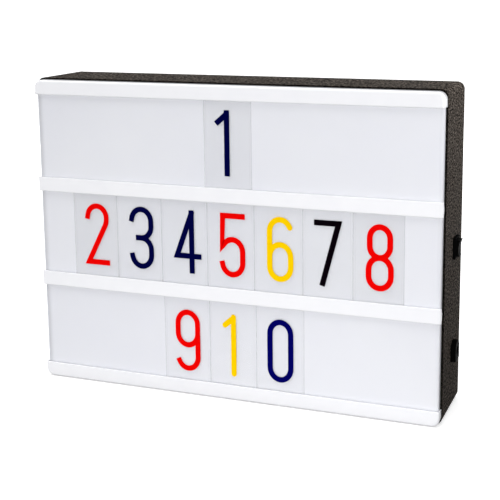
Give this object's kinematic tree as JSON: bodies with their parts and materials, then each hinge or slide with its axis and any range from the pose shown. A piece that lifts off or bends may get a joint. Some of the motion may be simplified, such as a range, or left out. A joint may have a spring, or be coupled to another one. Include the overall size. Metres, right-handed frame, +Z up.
{
  "type": "letter light box",
  "caption": "Free-standing or wall-hung light box: opal front behind rails that hold sliding character cards, black rear casing with rocker switch, low-voltage inlet and battery bay.",
  "frame": {"origin": "middle of the base, on the surface that the box stands on", "axes": "+X to the right as the front is seen, +Y from the front to the back, +Z up"},
  "size_m": [0.3048, 0.0608, 0.224],
  "materials": {
    "case_black": "coarse spark-eroded texture",
    "opal_cover": "satin opal, lets light through",
    "rail_white": "glossy",
    "card_clear": "clear, glossy",
    "reflector_white": "matt",
    "strip_white": "matt",
    "led_yellow": "clear resin over phosphor",
    "plug_ivory": "moulded",
    "switch_black": "fine texture",
    "rocker_black": "semi-gloss",
    "inlet_black": "semi-gloss",
    "tinned_metal": "tinned",
    "contact_metal": "nickel plated",
    "tray_black": "fine texture",
    "cell_jacket": "plain printed film",
    "board_green": "solder mask",
    "chip_black": "moulded",
    "capacitor_jacket": "shrink sleeve",
    "screw_steel": "blackened",
    "wire_red": "soft sleeve",
    "wire_black": "soft sleeve"
  },
  "bodies": {
    "light_box": {"rear_casing": "case_black", "front_cover": "opal_cover", "rail_bottom": "rail_white", "rail_lower": "rail_white", "rail_upper": "rail_white", "rail_top": "rail_white", "reflector_plate": "reflector_white", "led_strips": "strip_white", "leds": "led_yellow", "strip_plug": "plug_ivory", "switch_housing": "switch_black", "switch_terminals": "tinned_metal", "inlet_socket": "inlet_black", "inlet_pin": "tinned_metal", "inlet_terminals": "tinned_metal", "battery_tray": "tray_black", "battery_contacts": "contact_metal", "battery_cells": "cell_jacket", "driver_board": "board_green", "board_plugs": "plug_ivory", "board_parts": "chip_black", "board_capacitor": "capacitor_jacket", "casing_screws": "screw_steel", "board_screws": "screw_steel", "battery_wires": "wire_red", "switch_wires": "wire_black", "inlet_wires": "wire_black", "light_wires": "wire_red", "strip_links": "tinned_metal"},
    "card_1_1": {"card_1_1": "card_clear"},
    "card_2_1": {"card_2_1": "card_clear"},
    "card_2_2": {"card_2_2": "card_clear"},
    "card_2_3": {"card_2_3": "card_clear"},
    "card_2_4": {"card_2_4": "card_clear"},
    "card_2_5": {"card_2_5": "card_clear"},
    "card_2_6": {"card_2_6": "card_clear"},
    "card_2_7": {"card_2_7": "card_clear"},
    "card_3_1": {"card_3_1": "card_clear"},
    "card_3_2": {"card_3_2": "card_clear"},
    "card_3_3": {"card_3_3": "card_clear"},
    "switch_rocker": {"switch_rocker": "rocker_black"},
    "battery_door": {"battery_door": "case_black"}
  },
  "joints": [
    {"name": "card_1_1_slide", "type": "slide", "parent": "light_box", "child": "card_1_1", "axis": [1, 0, 0], "range_m": [-0.1323, 0.1317]},
    {"name": "card_2_4_slide", "type": "slide", "parent": "light_box", "child": "card_2_4", "axis": [1, 0, 0], "range_m": [-0.0073, 0.0083]},
    {"name": "card_2_5_slide", "type": "slide", "parent": "card_2_4", "child": "card_2_5", "axis": [1, 0, 0], "range_m": [0, 0.0083]},
    {"name": "card_2_6_slide", "type": "slide", "parent": "card_2_5", "child": "card_2_6", "axis": [1, 0, 0], "range_m": [0, 0.0083]},
    {"name": "card_2_7_slide", "type": "slide", "parent": "card_2_6", "child": "card_2_7", "axis": [1, 0, 0], "range_m": [0, 0.0249]},
    {"name": "card_2_3_slide", "type": "slide", "parent": "card_2_4", "child": "card_2_3", "axis": [1, 0, 0], "range_m": [-0.0073, 0]},
    {"name": "card_2_2_slide", "type": "slide", "parent": "card_2_3", "child": "card_2_2", "axis": [1, 0, 0], "range_m": [-0.0073, 0]},
    {"name": "card_2_1_slide", "type": "slide", "parent": "card_2_2", "child": "card_2_1", "axis": [1, 0, 0], "range_m": [-0.028, 0]},
    {"name": "card_3_2_slide", "type": "slide", "parent": "light_box", "child": "card_3_2", "axis": [1, 0, 0], "range_m": [-0.025, 0.025]},
    {"name": "card_3_3_slide", "type": "slide", "parent": "card_3_2", "child": "card_3_3", "axis": [1, 0, 0], "range_m": [0, 0.0942]},
    {"name": "card_3_1_slide", "type": "slide", "parent": "card_3_2", "child": "card_3_1", "axis": [1, 0, 0], "range_m": [-0.0992, 0]},
    {"name": "switch_rocker_tilt", "type": "hinge", "parent": "light_box", "child": "switch_rocker", "pos_m": [0.151, 0.0061, 0.115], "axis": [0, -1, 0], "range_deg": [0, 8]},
    {"name": "battery_door_hinge", "type": "hinge", "parent": "light_box", "child": "battery_door", "pos_m": [0, 0.0304, 0.0872], "axis": [-1, 0, 0], "range_deg": [0, 95]}
  ]
}
